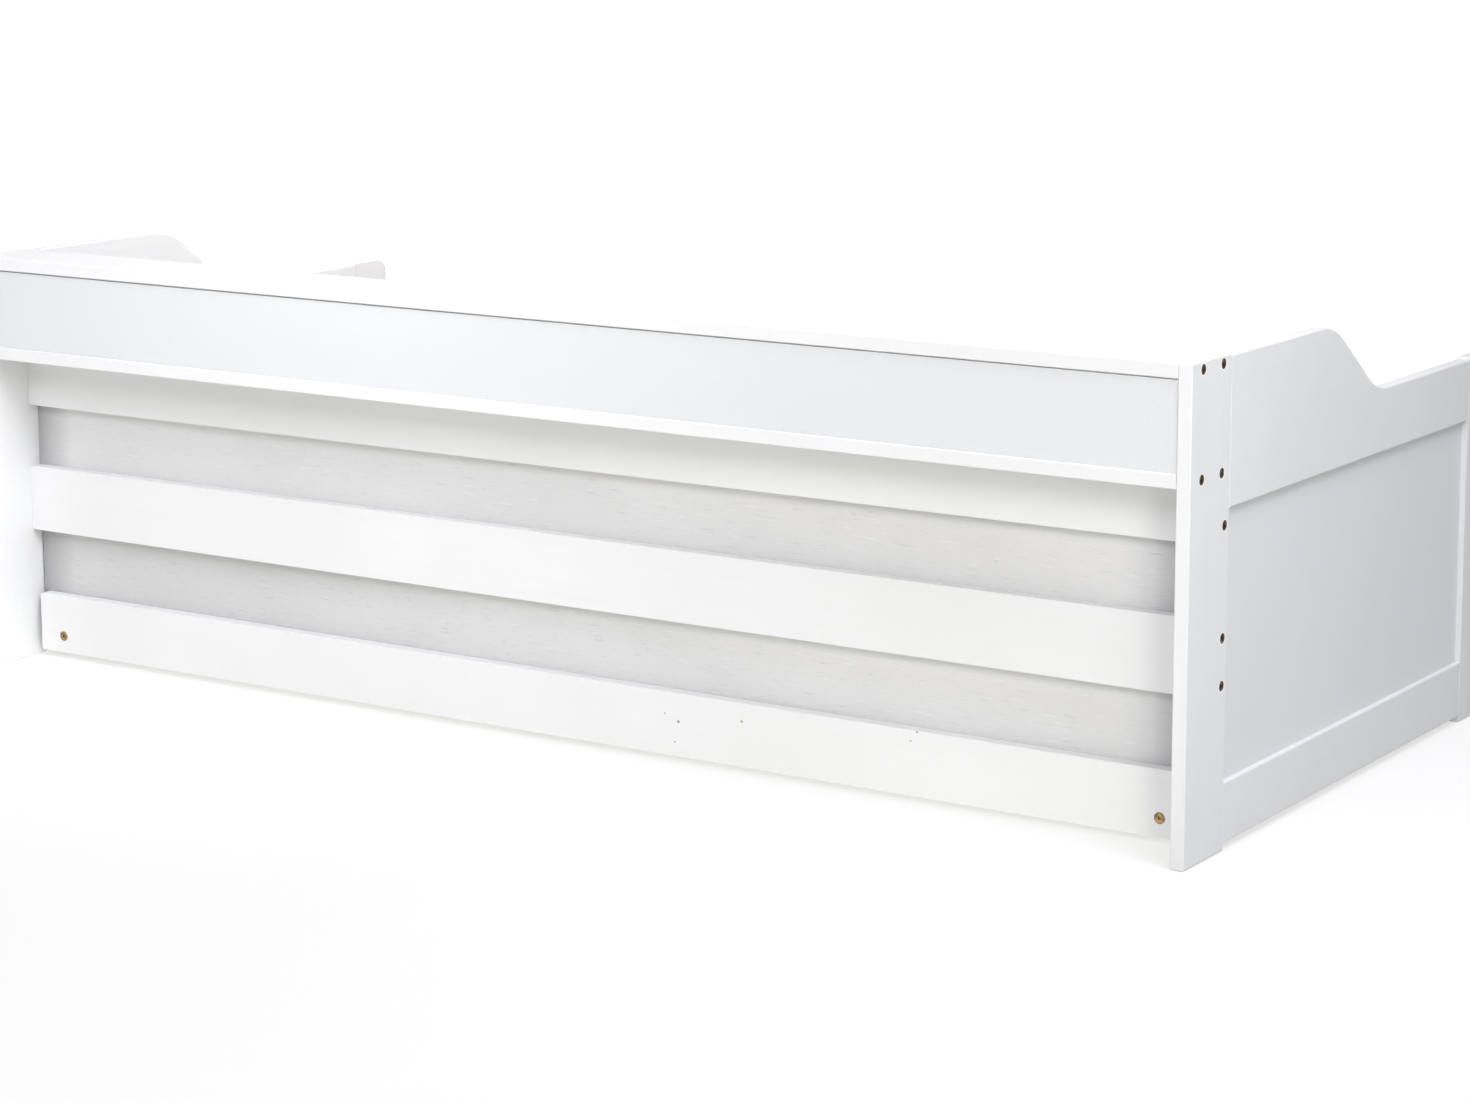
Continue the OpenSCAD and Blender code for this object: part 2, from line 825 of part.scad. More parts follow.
module castor_brackets() {
    color("dimgray") castor_places() castor_bracket();
}

module castor_axles() {
    color("silver") castor_places() castor_axle();
}

module castor_screws() {
    color("silver") castor_places() castor_screw_pair(0);
}

module wheel(spot, row) {
    color("darkslategray") castor_places([castor_spots[spot]], [castor_y[row]]) castor_wheel();
}

// ---------- nodes ----------

back_stile(-1);  // left_back_stile
front_stile(-1);  // left_front_stile
top_rail(-1);  // left_top_rail
bottom_rail(-1);  // left_bottom_rail
infill_panel(-1);  // left_infill_panel
back_stile(1);  // right_back_stile
front_stile(1);  // right_front_stile
top_rail(1);  // right_top_rail
bottom_rail(1);  // right_bottom_rail
infill_panel(1);  // right_infill_panel
frame_dowels();
shelf_top_board();
shelf_bottom_board();
shelf_back_panel();
shelf_divider(-divider_x);  // shelf_divider_left
shelf_divider(divider_x);  // shelf_divider_right
shelf_cleats();
panel_pins();
upper_back_rail();
middle_back_rail();
back_panel();
front_rail();
front_ledge();
rear_ledge();
ledge_screws();
for (number = [1:slat_count])
    slat(number);
webbing_straps();
connector_bolts();
barrel_nuts();
drawer_front();
drawer_back_rail();
drawer_back_panel();
drawer_side(-1);  // drawer_left_side
drawer_side(1);  // drawer_right_side
drawer_partition();
drawer_floor(-1);  // drawer_floor_left
drawer_floor(1);  // drawer_floor_right
drawer_bolts();
drawer_barrel_nuts();
drawer_dowels();
castor_brackets();
castor_axles();
castor_screws();
wheel(0, 0);  // wheel_left_front
wheel(0, 1);  // wheel_left_back
wheel(1, 0);  // wheel_middle_front
wheel(1, 1);  // wheel_middle_back
wheel(2, 0);  // wheel_right_front
wheel(2, 1);  // wheel_right_back
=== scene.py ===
"""Looks for a children's daybed with a shelf box along its back and a full-length drawer on castors.

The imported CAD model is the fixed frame. The boards keep their CAD shape and get softened edges
and painted or bare wood materials. The webbing is modelled here as woven bands with staples.
Everything is in metres: +X runs along the bed, -Y is the open front and +Z is up.
"""

import math

import bmesh
import bpy
from mathutils import Matrix, Vector


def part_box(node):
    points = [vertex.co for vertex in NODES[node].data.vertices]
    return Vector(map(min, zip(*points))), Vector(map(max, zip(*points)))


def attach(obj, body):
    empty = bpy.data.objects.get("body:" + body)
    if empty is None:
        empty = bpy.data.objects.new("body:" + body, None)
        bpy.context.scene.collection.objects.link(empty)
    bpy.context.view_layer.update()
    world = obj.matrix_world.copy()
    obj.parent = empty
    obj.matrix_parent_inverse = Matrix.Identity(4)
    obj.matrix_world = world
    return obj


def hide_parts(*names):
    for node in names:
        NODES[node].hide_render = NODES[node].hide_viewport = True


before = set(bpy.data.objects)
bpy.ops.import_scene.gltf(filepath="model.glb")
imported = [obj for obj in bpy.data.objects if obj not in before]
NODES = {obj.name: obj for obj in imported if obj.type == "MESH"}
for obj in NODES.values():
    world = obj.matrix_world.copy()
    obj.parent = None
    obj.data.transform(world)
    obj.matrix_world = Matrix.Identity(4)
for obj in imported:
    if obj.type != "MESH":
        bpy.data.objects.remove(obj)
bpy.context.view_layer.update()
scene = bpy.context.scene


def object_from(bm, name):
    """A new object in the scene that takes over bm's mesh."""
    mesh = bpy.data.meshes.new(name)
    bm.to_mesh(mesh)
    bm.free()
    made = bpy.data.objects.new(name, mesh)
    scene.collection.objects.link(made)
    return made


# ---------------------------------------------------------------- camera

def make_camera():
    """A long lens from behind the near end, a little above the shelf."""
    heading, pitch, roll = math.radians(-146.632), math.radians(9.296), math.radians(-0.13)
    data = bpy.data.cameras.new("camera")
    data.lens = 87.88
    data.sensor_width = 36
    data.shift_y = -0.1
    data.clip_end = 200
    camera = bpy.data.objects.new("camera", data)
    camera.matrix_world = (
        Matrix.Translation((-2.9653, 4.4376, 1.3099))
        @ Matrix.Rotation(heading, 4, "Z")
        @ Matrix.Rotation(math.pi / 2 - pitch, 4, "X")
        @ Matrix.Rotation(roll, 4, "Z")
    )
    scene.collection.objects.link(camera)
    scene.camera = camera


# ---------------------------------------------------------------- studio

FLOOR_RADIUS = 60
DOME_RADIUS = 58
STRIP_REACH = 7    # of the hidden strips, to the front and to the back


def softbox(name, place, aim, width, height, watts, colour, spread=180):
    """A rectangular area light at place that faces aim. A smaller spread, in degrees, narrows its beam."""
    data = bpy.data.lights.new(name, "AREA")
    data.shape = "RECTANGLE"
    data.size, data.size_y = width, height
    data.energy = watts
    data.color = colour
    data.spread = math.radians(spread)
    light = bpy.data.objects.new(name, data)
    light.location = place
    light.rotation_euler = (Vector(aim) - Vector(place)).to_track_quat("-Z", "Y").to_euler()
    scene.collection.objects.link(light)
    return light


def make_backdrop():
    """A plain white dome that only the camera sees, so that the floor has no horizon."""
    bm = bmesh.new()
    bmesh.ops.create_icosphere(bm, subdivisions=4, radius=DOME_RADIUS)
    dome = object_from(bm, "backdrop")
    dome.visible_diffuse = dome.visible_glossy = dome.visible_transmission = dome.visible_shadow = False
    white = bpy.data.materials.new("white_backdrop")
    white.use_nodes = True
    shader = white.node_tree.nodes["Principled BSDF"]
    shader.inputs["Base Color"].default_value = (0, 0, 0, 1)
    shader.inputs["Specular IOR Level"].default_value = 0
    shader.inputs["Emission Color"].default_value = (1, 1, 1, 1)
    shader.inputs["Emission Strength"].default_value = 1.02
    dome.data.materials.append(white)


def make_studio():
    """Key from behind the bed, fills on its ends and front, an overhead box and a pale sky and floor."""
    softbox("key_light", (-0.2, 4.0, 2.85), (-0.05, 0.45, 0.35), 4.4, 1.5, 84, (0.925, 0.915, 0.975))
    softbox("end_fill", (-3.0, 2.7, 1.3), (-1.04, 0.62, 0.5), 0.9, 1.2, 2.5, (1.0, 0.995, 0.92), 40)
    softbox("end_top", (-2.3, 0.9, 2.9), (-1.04, 0.1, 0.3), 1.0, 2.0, 72, (0.90, 0.915, 1.0))
    softbox("far_end_fill", (-0.75, 1.5, 2.1), (1.02, 0.1, 0.5), 0.9, 0.9, 5.6, (0.96, 0.97, 1.0), 60)
    softbox("overhead", (0.0, 0.3, 3.4), (0.0, 0.1, 0), 3.8, 2.4, 17, (1.0, 0.95, 0.80))
    softbox("front_fill", (2.7, -4.1, 2.3), (0.2, -0.3, 0.3), 2.6, 1.6, 85, (1.0, 0.99, 0.97))
    softbox("far_fill", (3.6, -0.6, 1.7), (1.04, 0.0, 0.3), 1.6, 1.6, 30, (0.98, 0.99, 1.0))
    world = bpy.data.worlds.new("studio")
    world.use_nodes = True
    scene.world = world
    nodes, links = world.node_tree.nodes, world.node_tree.links
    nodes.clear()
    out = nodes.new("ShaderNodeOutputWorld")
    background = nodes.new("ShaderNodeBackground")
    sky = nodes.new("ShaderNodeValToRGB")
    split = nodes.new("ShaderNodeSeparateXYZ")
    coords = nodes.new("ShaderNodeTexCoord")
    sky.color_ramp.elements[0].position = 0.02
    sky.color_ramp.elements[0].color = (0.26, 0.262, 0.28, 1)
    sky.color_ramp.elements[1].position = 0.14
    sky.color_ramp.elements[1].color = (0.246, 0.248, 0.262, 1)
    links.new(coords.outputs["Generated"], split.inputs[0])
    links.new(split.outputs["Z"], sky.inputs[0])
    links.new(sky.outputs[0], background.inputs["Color"])
    links.new(background.outputs[0], out.inputs[0])

    make_floor("floor", 0.34, (0.60, 1.04))
    make_floor("floor_bounce", 0.30, (0.75, 0.88), across=(-1.0, 7.0))
    make_floor("end_bounce", 0.30, (0.27, 0.30), across=(-7.0, -1.0))
    make_backdrop()


def make_floor(name, albedo, glow, across=None):
    """A pale floor: the disc that the camera sees, or a hidden strip that throws light up at the bed.

    glow is its emission near the bed and far from it, and across a hidden strip's span in X.
    """
    seen = across is None
    bm = bmesh.new()
    if seen:
        bmesh.ops.create_circle(bm, cap_ends=True, radius=FLOOR_RADIUS, segments=96)
    else:
        x0, x1 = across
        corners = ((x0, -STRIP_REACH), (x1, -STRIP_REACH), (x1, STRIP_REACH), (x0, STRIP_REACH))
        bm.faces.new([bm.verts.new((x, y, 0)) for x, y in corners])
    floor = object_from(bm, name)
    floor.location.z = -0.0005 if seen else -0.0025
    floor.visible_camera = seen
    floor.visible_diffuse = floor.visible_glossy = floor.visible_transmission = not seen
    floor.visible_shadow = not seen
    pale = bpy.data.materials.new("pale_" + name)
    pale.use_nodes = True
    nodes, links = pale.node_tree.nodes, pale.node_tree.links
    shader = nodes["Principled BSDF"]
    shader.inputs["Base Color"].default_value = (albedo, albedo, albedo, 1)
    shader.inputs["Roughness"].default_value = 0.9
    shader.inputs["Specular IOR Level"].default_value = 0.1
    shader.inputs["Emission Color"].default_value = (1.0, 0.998, 0.985, 1) if seen else (1.0, 0.997, 0.93, 1)
    far = nodes.new("ShaderNodeVectorMath")
    far.operation = "LENGTH"
    brighter = nodes.new("ShaderNodeMapRange")
    brighter.interpolation_type = "SMOOTHSTEP"
    for socket, value in (("From Min", 1.8), ("From Max", 6.5), ("To Min", glow[0]), ("To Max", glow[1])):
        brighter.inputs[socket].default_value = value
    links.new(nodes.new("ShaderNodeTexCoord").outputs["Object"], far.inputs[0])
    links.new(far.outputs["Value"], brighter.inputs["Value"])
    links.new(brighter.outputs["Result"], shader.inputs["Emission Strength"])
    floor.data.materials.append(pale)


# ---------------------------------------------------------------- materials

class Surface:
    """Short calls for building one node material around a Principled shader."""

    def __init__(self, name, roughness=0.5, **settings):
        self.material = bpy.data.materials.new(name)
        self.material.use_nodes = True
        self.nodes = self.material.node_tree.nodes
        self.links = self.material.node_tree.links
        self.shader = self.nodes["Principled BSDF"]
        self.shader.inputs["Roughness"].default_value = roughness
        for key, value in settings.items():
            self.shader.inputs[key.replace("_", " ")].default_value = value
        self.place = self.add("ShaderNodeTexCoord").outputs["Object"]

    def add(self, kind, wired=None, **settings):
        """One node, with its settings and with values or sockets put into its inputs."""
        node = self.nodes.new(kind)
        for key, value in settings.items():
            setattr(node, key, value)
        for key, value in (wired or {}).items():
            self.put(value, node.inputs[key])
        return node

    def put(self, value, socket):
        """A value or another node's output goes into socket."""
        if isinstance(value, bpy.types.NodeSocket):
            self.links.new(value, socket)
        else:
            socket.default_value = value

    def stretched(self, scale, offset=(0, 0, 0), source=None):
        """The object's own coordinates, scaled along each axis."""
        return self.add("ShaderNodeMapping",
                        {"Vector": source or self.place, "Scale": scale, "Location": offset}).outputs[0]

    def noise(self, vector, scale=1.0, detail=4.0, roughness=0.55, distortion=0.0):
        """Noise from 0 to 1."""
        return self.add("ShaderNodeTexNoise",
                        {"Vector": vector, "Scale": scale, "Detail": detail,
                         "Roughness": roughness, "Distortion": distortion}).outputs["Fac"]

    def ramp(self, value, low, high, low_out=0.0, high_out=1.0):
        """value from low to high, remapped and clamped."""
        return self.add("ShaderNodeMapRange",
                        {"Value": value, "From Min": low, "From Max": high,
                         "To Min": low_out, "To Max": high_out}).outputs[0]

    def maths(self, kind, a, b=0.0):
        return self.add("ShaderNodeMath", {0: a, 1: b}, operation=kind).outputs[0]

    def mix(self, share, a, b):
        """Colour a where share is 0 and b where it is 1."""
        node = self.add("ShaderNodeMix", data_type="RGBA")
        self.put(share, node.inputs["Factor"])
        for value, socket in ((a, node.inputs[6]), (b, node.inputs[7])):
            self.put(value if isinstance(value, bpy.types.NodeSocket) else (*value, 1), socket)
        return node.outputs[2]

    def bump(self, height, distance, strength=1.0, over=None):
        """A relief of that depth in metres, on top of another one."""
        wired = {"Height": height, "Distance": distance, "Strength": strength}
        if over is not None:
            wired["Normal"] = over
        return self.add("ShaderNodeBump", wired).outputs[0]

    def finish(self, colour, normal=None, roughness=None):
        self.put(colour if isinstance(colour, bpy.types.NodeSocket) else (*colour, 1),
                 self.shader.inputs["Base Color"])
        if normal is not None:
            self.put(normal, self.shader.inputs["Normal"])
        if roughness is not None:
            self.put(roughness, self.shader.inputs["Roughness"])
        return self.material


def along(axis, lengthwise, across):
    """Texture scales for a grain that runs along axis 0, 1 or 2."""
    return tuple(lengthwise if i == axis else across for i in range(3))


def white_lacquer(axis, name="white_lacquer", chips=()):
    """Satin white lacquer on pine: faint grain and brush relief along the board, and rare specks.

    chips are small dark spots on a board's outer face, each as (x, z, radius).
    """
    s = Surface(name + "_" + "xyz"[axis], Specular_IOR_Level=0.4)
    grain = s.noise(s.stretched(along(axis, 3, 90)), detail=6, roughness=0.65)
    pores = s.noise(s.stretched(along(axis, 14, 420)), detail=3, roughness=0.5)
    brush = s.noise(s.stretched(along(axis, 5, 60)), detail=2)
    cloud = s.noise(s.place, scale=3.2, detail=3)
    pore_pits = s.ramp(pores, 0.62, 0.78)
    tone = s.mix(s.ramp(cloud, 0.35, 0.7), (0.752, 0.753, 0.752), (0.783, 0.784, 0.786))
    tone = s.mix(s.ramp(grain, 0.45, 0.75, 0.0, 0.35), tone, (0.736, 0.736, 0.731))
    specks = s.add("ShaderNodeTexVoronoi", {"Vector": s.place, "Scale": 26.0}, feature="F1")
    rare = s.ramp(specks.outputs["Color"], 0.90, 0.93)
    dot = s.maths("MULTIPLY", s.ramp(specks.outputs["Distance"], 0.024, 0.034, 1.0, 0.0), rare)
    tone = s.mix(s.maths("MULTIPLY", dot, 0.5), tone, (0.279, 0.26, 0.233))
    if chips:
        on_face = s.add("ShaderNodeVectorMath", {0: s.place, 1: (1, 0, 1)}, operation="MULTIPLY").outputs[0]
    for x, z, radius in chips:
        away = s.add("ShaderNodeVectorMath", {0: on_face, 1: (x, 0, z)}, operation="DISTANCE")
        inside = s.ramp(away.outputs["Value"], radius * 0.5, radius, 0.75, 0.0)
        tone = s.mix(inside, tone, (0.16, 0.13, 0.10))
    relief = s.bump(brush, 0.00035, 0.5)
    relief = s.bump(grain, 0.00020, 0.5, relief)
    relief = s.bump(s.maths("SUBTRACT", 1.0, pore_pits), 0.00008, 0.4, relief)
    return s.finish(tone, relief, s.ramp(cloud, 0.3, 0.7, 0.34, 0.46))


def white_panel(name, shade=1.0):
    """Smooth cool white painted fibreboard with a very fine roller texture. shade darkens its tones."""
    s = Surface(name, Specular_IOR_Level=0.35)
    roller = s.noise(s.place, scale=700, detail=2)
    cloud = s.noise(s.place, scale=2.2, detail=3)
    streak = s.noise(s.stretched((4, 60, 140)), detail=4)
    tones = ((0.713, 0.719, 0.727), (0.729, 0.735, 0.742), (0.703, 0.708, 0.716))
    low, high, streaked = ([shade * c for c in tone] for tone in tones)
    tone = s.mix(s.ramp(cloud, 0.3, 0.7), low, high)
    tone = s.mix(s.ramp(streak, 0.5, 0.8, 0.0, 0.25), tone, streaked)
    relief = s.bump(cloud, 0.002, 0.25)
    relief = s.bump(roller, 0.00006, 0.5, relief)
    return s.finish(tone, relief, s.ramp(cloud, 0.3, 0.7, 0.42, 0.52))


def grey_panel(name, painted_far_light):
    """Thin pale grey fibreboard with short light and dark dashes of a fine horizontal grain.

    It has painted shade close to its ends, where the end panels shadow it. painted_far_light is how much
    painted light (above 0) or painted shade (below 0) it gets towards the +X end.
    """
    s = Surface(name, Specular_IOR_Level=0.3)
    dashes = s.noise(s.stretched((26, 26, 260)), detail=2, roughness=0.6)
    fine = s.noise(s.stretched((60, 60, 900)), detail=3, roughness=0.6)
    cloud = s.noise(s.stretched((2.6, 2.6, 5)), detail=4)
    bands = s.noise(s.stretched((1.2, 1.2, 28)), detail=3)
    tone = s.mix(s.ramp(cloud, 0.3, 0.7), (0.622, 0.619, 0.618), (0.697, 0.693, 0.692))
    tone = s.mix(s.ramp(bands, 0.4, 0.8, 0.0, 0.4), tone, (0.644, 0.640, 0.636))
    tone = s.mix(s.ramp(dashes, 0.60, 0.70, 0.0, 0.42), tone, (0.780, 0.780, 0.780))
    tone = s.mix(s.ramp(dashes, 0.38, 0.28, 0.0, 0.65), tone, (0.500, 0.504, 0.508))
    tone = s.mix(s.ramp(fine, 0.5, 0.75, 0.0, 0.35), tone, (0.560, 0.558, 0.556))
    from_middle = s.add("ShaderNodeSeparateXYZ", {0: s.place}).outputs["X"]
    # painted light (lighter) or painted shade (darker) that grows towards the +X end
    tone = s.mix(s.ramp(from_middle, -0.4, 0.95, 0.0, abs(painted_far_light)), tone,
                 (0.86, 0.86, 0.86) if painted_far_light > 0 else (0.20, 0.20, 0.203))
    # painted shade within a few centimetres of both ends, where the end panels shadow the panel
    painted_end_shade = s.maths("MAXIMUM", s.ramp(from_middle, 0.95, 1.015, 0.0, 0.62),
                      s.ramp(from_middle, -0.938, -0.972, 0.0, 0.42))
    tone = s.mix(painted_end_shade, tone, (0.20, 0.202, 0.207))
    relief = s.bump(dashes, 0.00012, 0.6)
    relief = s.bump(fine, 0.00005, 0.5, relief)
    return s.finish(tone, relief, s.ramp(fine, 0.3, 0.7, 0.5, 0.66))


def bare_pine(axis):
    """Planed pine: growth rings drawn out along the board, darker latewood, and small knots."""
    s = Surface("bare_pine_" + "xyz"[axis], Specular_IOR_Level=0.3)
    warp = s.noise(s.stretched(along(axis, 1.6, 7)), detail=3)
    shifted = s.add("ShaderNodeVectorMath",
                    {0: s.stretched(along(axis, 1.3, 16)),
                     1: s.add("ShaderNodeCombineXYZ", {"X": warp, "Y": warp, "Z": warp}).outputs[0]},
                    operation="ADD").outputs[0]
    rings = s.add("ShaderNodeTexWave",
                  {"Vector": shifted, "Scale": 2.4, "Distortion": 2.6, "Detail": 3.0, "Detail Scale": 1.2},
                  wave_type="RINGS", rings_direction="SPHERICAL").outputs["Fac"]
    fibre = s.noise(s.stretched(along(axis, 10, 500)), detail=4, roughness=0.6)
    tone = s.mix(s.ramp(rings, 0.35, 0.95), (0.72, 0.53, 0.32), (0.55, 0.35, 0.17))
    tone = s.mix(s.ramp(fibre, 0.4, 0.75, 0.0, 0.35), tone, (0.80, 0.64, 0.42))
    knots = s.add("ShaderNodeTexVoronoi", {"Vector": s.stretched(along(axis, 3.2, 7.5)), "Scale": 1.0},
                  feature="F1")
    kept = s.ramp(knots.outputs["Color"], 0.60, 0.64)
    core = s.maths("MULTIPLY", s.ramp(knots.outputs["Distance"], 0.045, 0.085, 1.0, 0.0), kept)
    halo = s.maths("MULTIPLY", s.ramp(knots.outputs["Distance"], 0.06, 0.22, 0.6, 0.0), kept)
    tone = s.mix(halo, tone, (0.50, 0.30, 0.13))
    tone = s.mix(core, tone, (0.20, 0.095, 0.04))
    relief = s.bump(rings, 0.00022, 0.5)
    relief = s.bump(fibre, 0.00010, 0.5, relief)
    return s.finish(tone, relief, s.ramp(fibre, 0.3, 0.7, 0.5, 0.7))


def beech():
    """Beech dowel with short dark flecks."""
    s = Surface("beech_dowel", Specular_IOR_Level=0.3)
    fleck = s.noise(s.stretched((60, 400, 400)), detail=3)
    tone = s.mix(s.ramp(fleck, 0.45, 0.7), (0.66, 0.47, 0.29), (0.46, 0.29, 0.16))
    return s.finish(tone, s.bump(fleck, 0.0001, 0.5), s.ramp(fleck, 0.3, 0.7, 0.5, 0.65))


def plated_metal(name, bright, dull, roughness, worn):
    """Plated steel: clouded plating that has rubbed to a lighter metal in places."""
    s = Surface(name, Metallic=1.0)
    cloud = s.noise(s.place, scale=240, detail=4)
    scratch = s.noise(s.stretched((300, 1500, 1500)), detail=3)
    tone = s.mix(s.ramp(cloud, 0.35, 0.65), dull, bright)
    tone = s.mix(s.ramp(scratch, 0.62, 0.74, 0.0, 0.5), tone, worn)
    relief = s.bump(scratch, 0.00003, 0.5)
    return s.finish(tone, relief, s.ramp(cloud, 0.3, 0.7, roughness, roughness + 0.15))


def bolt_metal(name, bright, dark):
    """Blackened plated bolt with small bright bronze patches that are painted glints, and an uneven face."""
    s = Surface(name, Metallic=1.0)
    glint_spots = s.noise(s.place, scale=330, detail=3)
    dents = s.noise(s.place, scale=210, detail=1)
    scratch = s.noise(s.stretched((300, 1500, 1500)), detail=3)
    # bright metal in small patches: painted glints where the bolt heads catch the lights
    tone = s.mix(s.ramp(glint_spots, 0.50, 0.62), dark, bright)
    relief = s.bump(dents, 0.0028, 0.9)
    relief = s.bump(scratch, 0.00003, 0.5, relief)
    return s.finish(tone, relief, s.ramp(glint_spots, 0.4, 0.6, 0.42, 0.25))


def woven_band():
    """Off-white polyester webbing: ribs along the band and a fine plain weave."""
    s = Surface("webbing", Specular_IOR_Level=0.25, Sheen_Weight=0.25, Sheen_Roughness=0.4)
    x_threads = s.add("ShaderNodeTexWave", {"Vector": s.stretched((900, 0, 0)), "Scale": 0.35},
                      bands_direction="X").outputs["Fac"]
    y_threads = s.add("ShaderNodeTexWave", {"Vector": s.stretched((0, 900, 0)), "Scale": 0.35},
                      bands_direction="Y").outputs["Fac"]
    weave = s.maths("MULTIPLY", x_threads, y_threads)
    fuzz = s.noise(s.place, scale=900, detail=3)
    tone = s.mix(weave, (0.60, 0.57, 0.50), (0.80, 0.78, 0.71))
    tone = s.mix(s.ramp(fuzz, 0.5, 0.8, 0.0, 0.4), tone, (0.86, 0.84, 0.79))
    return s.finish(tone, s.bump(weave, 0.0003, 0.7), s.ramp(fuzz, 0.3, 0.7, 0.75, 0.9))


def moulded_plastic(name, tone, lighter, roughness):
    """Moulded plastic with a spark-eroded grain and light scuffs."""
    s = Surface(name, Specular_IOR_Level=0.45)
    grain = s.noise(s.place, scale=1400, detail=2)
    scuff = s.noise(s.stretched((60, 90, 400)), detail=5, roughness=0.7)
    colour = s.mix(s.ramp(scuff, 0.6, 0.8, 0.0, 0.6), tone, lighter)
    relief = s.bump(grain, 0.00005, 0.6)
    return s.finish(colour, relief, s.ramp(scuff, 0.3, 0.8, roughness, roughness + 0.2))


# ---------------------------------------------------------------- CAD nodes: finishes and edges

X_BOARDS = ("shelf_top_board", "shelf_bottom_board", "upper_back_rail", "middle_back_rail",
            "front_rail", "drawer_front")
Y_BOARDS = ("left_top_rail", "left_bottom_rail", "right_top_rail", "right_bottom_rail",
            "drawer_left_side", "drawer_right_side", "drawer_partition")
Z_BOARDS = ("left_back_stile", "left_front_stile", "right_back_stile", "right_front_stile",
            "shelf_divider_left", "shelf_divider_right")
PANELS = ("left_infill_panel", "right_infill_panel", "drawer_floor_left", "drawer_floor_right")
SLATS = tuple(f"slat_{i}" for i in range(1, 13))
ZINC = ("barrel_nuts", "drawer_barrel_nuts", "ledge_screws", "castor_axles", "castor_screws")
# (x, z, radius) of the chips on the drawer's back rail
PAINT_CHIPS = ((-0.212, 0.061, 0.0030), (-0.318, 0.076, 0.0026), (-0.189, 0.070, 0.0016),
               (-0.206, 0.031, 0.0016), (-0.599, 0.100, 0.0019), (-0.589, 0.087, 0.0015))
WHEELS = tuple(f"wheel_{x}_{y}" for x in ("left", "middle", "right") for y in ("front", "back"))
SHARP_ANGLE = math.radians(50)
SHORT_EDGE = 0.002
ON_FACE = 0.0001    # an edge this close to a board's face is on it
TOP_RAIL_RADIUS = 0.003


def outline_weights(axis):
    """Node group that marks a board's own sharp edges for the bevel.

    Edges inside its thickness, such as a groove's, and the short ones round holes stay sharp.
    axis is the board's thin direction, or None for a part that isn't a board.
    """
    group = bpy.data.node_groups.new(f"outline_weights_{axis}", "GeometryNodeTree")
    group.interface.new_socket("Geometry", in_out="INPUT", socket_type="NodeSocketGeometry")
    group.interface.new_socket("Geometry", in_out="OUTPUT", socket_type="NodeSocketGeometry")
    links = group.links

    def new(kind, wired=(), **settings):
        """The first output of a new node, with values or sockets put into its first inputs."""
        node = group.nodes.new(kind)
        for key, value in settings.items():
            setattr(node, key, value)
        for socket, value in zip(node.inputs, wired):
            if isinstance(value, bpy.types.NodeSocket):
                links.new(value, socket)
            else:
                socket.default_value = value
        return node.outputs[0]

    start, end = group.nodes.new("NodeGroupInput"), group.nodes.new("NodeGroupOutput")
    ends = group.nodes.new("GeometryNodeInputMeshEdgeVertices")
    length = group.nodes.new("ShaderNodeVectorMath")
    length.operation = "DISTANCE"
    links.new(ends.outputs["Position 1"], length.inputs[0])
    links.new(ends.outputs["Position 2"], length.inputs[1])
    angle = new("GeometryNodeInputMeshEdgeAngle")
    sharp = new("ShaderNodeMath", (angle, SHARP_ANGLE), operation="GREATER_THAN")
    long = new("ShaderNodeMath", (length.outputs["Value"], SHORT_EDGE), operation="GREATER_THAN")
    chosen = new("ShaderNodeMath", (sharp, long), operation="MULTIPLY")
    if axis is not None:
        box = group.nodes.new("GeometryNodeBoundBox")
        links.new(start.outputs[0], box.inputs[0])
        faces = []
        for corner in ("Min", "Max"):
            split = group.nodes.new("ShaderNodeSeparateXYZ")
            links.new(box.outputs[corner], split.inputs[0])
            faces.append(split.outputs[axis])
        for which in ("Position 1", "Position 2"):
            split = group.nodes.new("ShaderNodeSeparateXYZ")
            links.new(ends.outputs[which], split.inputs[0])
            near = [new("ShaderNodeMath", (split.outputs[axis], face, ON_FACE), operation="COMPARE")
                    for face in faces]
            on_a_face = new("ShaderNodeMath", near, operation="MAXIMUM")
            chosen = new("ShaderNodeMath", (chosen, on_a_face), operation="MULTIPLY")
    store = group.nodes.new("GeometryNodeStoreNamedAttribute")
    store.data_type, store.domain = "FLOAT", "EDGE"
    store.inputs["Name"].default_value = "bevel_weight_edge"
    links.new(start.outputs[0], store.inputs["Geometry"])
    links.new(chosen, store.inputs["Value"])
    links.new(store.outputs[0], end.inputs[0])
    return group


def soften(node, radius, board=True):
    """Rounds the edges of a CAD node for the eye only: its mesh stays as it is."""
    axis = min(range(3), key=lambda i: node.dimensions[i]) if board else None
    weld = node.modifiers.new("weld", "WELD")
    weld.merge_threshold = 0.00001
    flat = node.modifiers.new("flat_faces", "DECIMATE")
    flat.decimate_type = "DISSOLVE"
    flat.angle_limit = math.radians(0.5)
    outline = node.modifiers.new("outline", "NODES")
    outline.node_group = bpy.data.node_groups.get(f"outline_weights_{axis}") or outline_weights(axis)
    bevel = node.modifiers.new("bevel", "BEVEL")
    bevel.width = radius
    bevel.segments = 2
    bevel.limit_method = "WEIGHT"
    bevel.harden_normals = True
    bevel.use_clamp_overlap = False


def dress(names, material, radius=None, board=True):
    """One material on each named CAD node, and rounded edges where a radius is given."""
    for name in names:
        node = NODES[name]
        node.data.materials.clear()
        node.data.materials.append(material)
        if radius:
            soften(node, radius, board)


